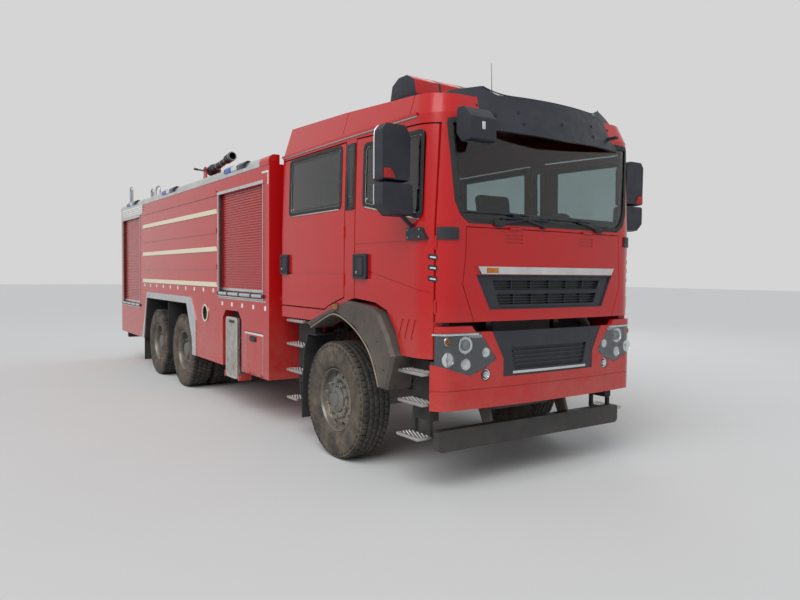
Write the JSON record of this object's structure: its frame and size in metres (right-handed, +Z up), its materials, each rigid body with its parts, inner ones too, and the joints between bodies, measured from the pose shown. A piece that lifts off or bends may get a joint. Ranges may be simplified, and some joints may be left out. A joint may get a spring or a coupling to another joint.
{
  "type": "fire truck",
  "caption": "Foam fire truck with a four-door cab, a tank body with roller shutters, a roof monitor and a ladder.",
  "frame": {"origin": "middle of the bounding box's foot, on the ground", "axes": "+X to the truck's left, +Y to its rear, +Z up"},
  "size_m": [3.0098, 10.369, 3.7678],
  "materials": {
    "red_paint": "glossy",
    "dark_plastic": "satin",
    "glass": "clear, dark tint",
    "silver": "satin",
    "tyre": "matte, dusty",
    "wheel_paint": "satin",
    "chassis_paint": "satin",
    "castings": "rough",
    "lamp_lens": "clear",
    "beacon_red": "clear, red",
    "marker_blue": "clear, blue",
    "cream_stripe": "glossy",
    "seat_cloth": "matte",
    "bright_steel": "satin"
  },
  "bodies": {
    "chassis": {"cab_shell": "red_paint", "bumper": "red_paint", "body_shell": "red_paint", "roof_fittings": "red_paint", "cab_glass": "glass", "bumper_grille": "dark_plastic", "visor": "dark_plastic", "arch_flares": "dark_plastic", "mudguards": "dark_plastic", "front_mirror": "dark_plastic", "step_treads": "silver", "shutters": "red_paint", "body_trim": "silver", "underrun_bars": "chassis_paint", "ladder": "bright_steel", "stripes": "cream_stripe", "light_bar": "beacon_red", "body_lamps": "marker_blue", "headlamps": "lamp_lens", "cab_interior": "dark_plastic", "seats": "seat_cloth", "lower_lockers": "red_paint", "frame": "chassis_paint", "front_axle": "chassis_paint", "drive_axles": "chassis_paint", "powertrain": "castings"},
    "service_flap": {"service_flap": "red_paint", "grille": "dark_plastic", "grille_bar": "silver"},
    "monitor_head": {"monitor_head": "red_paint"},
    "monitor_barrel": {"monitor_barrel": "dark_plastic"},
    "tie_rod": {"tie_rod": "chassis_paint"},
    "front_door_left": {"front_door_left": "red_paint", "front_door_glass_left": "glass", "mirror_left": "dark_plastic"},
    "rear_door_left": {"rear_door_left": "red_paint", "rear_door_glass_left": "glass"},
    "locker_door_left": {"locker_door_left": "red_paint"},
    "fold_step_left": {"fold_step_left": "silver"},
    "knuckle_left": {"knuckle_left": "castings"},
    "wheel_front_left": {"tyre_front_left": "tyre", "rim_front_left": "wheel_paint"},
    "wheel_middle_left": {"tyre_middle_left": "tyre", "rim_middle_left": "wheel_paint"},
    "wheel_rear_left": {"tyre_rear_left": "tyre", "rim_rear_left": "wheel_paint"},
    "front_door_right": {"front_door_right": "red_paint", "front_door_glass_right": "glass", "mirror_right": "dark_plastic"},
    "rear_door_right": {"rear_door_right": "red_paint", "rear_door_glass_right": "glass"},
    "locker_door_right": {"locker_door_right": "red_paint"},
    "fold_step_right": {"fold_step_right": "silver"},
    "knuckle_right": {"knuckle_right": "castings"},
    "wheel_front_right": {"tyre_front_right": "tyre", "rim_front_right": "wheel_paint"},
    "wheel_middle_right": {"tyre_middle_right": "tyre", "rim_middle_right": "wheel_paint"},
    "wheel_rear_right": {"tyre_rear_right": "tyre", "rim_rear_right": "wheel_paint"}
  },
  "joints": [
    {"name": "front_door_left_hinge", "type": "hinge", "parent": "chassis", "child": "front_door_left", "pos_m": [1.106, -4.8755, 1.45], "axis": [0, 0, -1], "range_deg": [0, 70]},
    {"name": "rear_door_left_hinge", "type": "hinge", "parent": "chassis", "child": "rear_door_left", "pos_m": [1.176, -3.6205, 1.64], "axis": [0, 0, -1], "range_deg": [0, 80]},
    {"name": "locker_door_left_hinge", "type": "hinge", "parent": "chassis", "child": "locker_door_left", "pos_m": [1.25, -1.6995, 0.546], "axis": [0, 1, 0], "range_deg": [0, 90]},
    {"name": "fold_step_left_hinge", "type": "hinge", "parent": "chassis", "child": "fold_step_left", "pos_m": [1.23, -0.977, 0.44], "axis": [0, 1, 0], "range_deg": [0, 90]},
    {"name": "steer_left", "type": "hinge", "parent": "chassis", "child": "knuckle_left", "pos_m": [0.865, -3.4645, 0.535], "axis": [0, 0, 1], "range_deg": [-35, 35]},
    {"name": "wheel_front_left_spin", "type": "hinge", "parent": "knuckle_left", "child": "wheel_front_left", "pos_m": [1.04, -3.4645, 0.535], "axis": [1, 0, 0], "continuous": true},
    {"name": "wheel_middle_left_spin", "type": "hinge", "parent": "chassis", "child": "wheel_middle_left", "pos_m": [0.9, 1.1355, 0.535], "axis": [1, 0, 0], "continuous": true},
    {"name": "wheel_rear_left_spin", "type": "hinge", "parent": "chassis", "child": "wheel_rear_left", "pos_m": [0.9, 2.5355, 0.535], "axis": [1, 0, 0], "continuous": true},
    {"name": "front_door_right_hinge", "type": "hinge", "parent": "chassis", "child": "front_door_right", "pos_m": [-1.106, -4.8755, 1.45], "axis": [0, 0, 1], "range_deg": [0, 70]},
    {"name": "rear_door_right_hinge", "type": "hinge", "parent": "chassis", "child": "rear_door_right", "pos_m": [-1.176, -3.6205, 1.64], "axis": [0, 0, 1], "range_deg": [0, 80]},
    {"name": "locker_door_right_hinge", "type": "hinge", "parent": "chassis", "child": "locker_door_right", "pos_m": [-1.25, -1.6995, 0.546], "axis": [0, -1, 0], "range_deg": [0, 90]},
    {"name": "fold_step_right_hinge", "type": "hinge", "parent": "chassis", "child": "fold_step_right", "pos_m": [-1.23, -0.977, 0.44], "axis": [0, -1, 0], "range_deg": [0, 90]},
    {"name": "steer_right", "type": "hinge", "parent": "chassis", "child": "knuckle_right", "pos_m": [-0.865, -3.4645, 0.535], "axis": [0, 0, 1], "range_deg": [-35, 35]},
    {"name": "wheel_front_right_spin", "type": "hinge", "parent": "knuckle_right", "child": "wheel_front_right", "pos_m": [-1.04, -3.4645, 0.535], "axis": [1, 0, 0], "continuous": true},
    {"name": "wheel_middle_right_spin", "type": "hinge", "parent": "chassis", "child": "wheel_middle_right", "pos_m": [-0.9, 1.1355, 0.535], "axis": [1, 0, 0], "continuous": true},
    {"name": "wheel_rear_right_spin", "type": "hinge", "parent": "chassis", "child": "wheel_rear_right", "pos_m": [-0.9, 2.5355, 0.535], "axis": [1, 0, 0], "continuous": true},
    {"name": "tie_rod_pivot", "type": "hinge", "parent": "knuckle_left", "child": "tie_rod", "pos_m": [0.865, -3.2745, 0.4314], "axis": [0, 0, 1], "range_deg": [-35, 35]},
    {"name": "service_flap_hinge", "type": "hinge", "parent": "chassis", "child": "service_flap", "pos_m": [0, -4.9955, 2.056], "axis": [-1, 0, 0], "range_deg": [0, 70]},
    {"name": "monitor_turn", "type": "hinge", "parent": "chassis", "child": "monitor_head", "pos_m": [0, 3.4355, 3.36], "axis": [0, 0, 1], "continuous": true},
    {"name": "monitor_raise", "type": "hinge", "parent": "monitor_head", "child": "monitor_barrel", "pos_m": [0, 3.4355, 3.57], "axis": [-1, 0, 0], "range_deg": [-15, 45]}
  ],
  "couplings": [
    {"joint": "steer_right", "follows": "steer_left", "ratio": 1},
    {"joint": "tie_rod_pivot", "follows": "steer_left", "ratio": -1}
  ]
}
